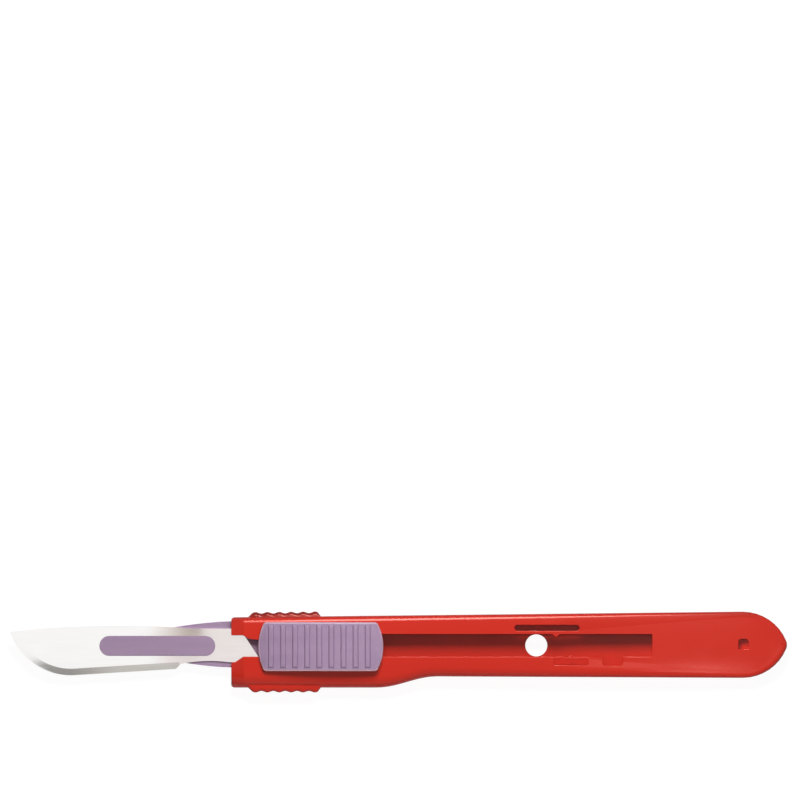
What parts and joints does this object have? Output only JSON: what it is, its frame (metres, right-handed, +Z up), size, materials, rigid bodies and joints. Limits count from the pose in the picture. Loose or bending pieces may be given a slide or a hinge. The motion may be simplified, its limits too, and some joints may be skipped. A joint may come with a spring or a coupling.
{
  "type": "retractable disposable scalpel",
  "caption": "Disposable surgical scalpel: a flat red plastic handle with a ribbed lilac thumb slide that draws the curved steel blade back inside.",
  "frame": {"origin": "centre of the round hole through the handle's floor, on the flat back of the handle", "axes": "+X along the handle from the blade to the tail, +Y away from the cutting edge, +Z up out of the top face with the thumb slide"},
  "size_m": [0.1603, 0.0167, 0.0089],
  "materials": {
    "handle_red": "glossy moulded red plastic with a fine satin texture",
    "carrier_lilac": "satin moulded lilac plastic",
    "blade_steel": "bright polished stainless strip with a finely ground edge bevel"
  },
  "bodies": {
    "grip": {"handle": "handle_red"},
    "slide": {"blade_carrier": "carrier_lilac", "blade": "blade_steel"}
  },
  "joints": [
    {"name": "blade_slide", "type": "slide", "parent": "grip", "child": "slide", "axis": [1, 0, 0], "range_m": [0, 0.056]}
  ]
}
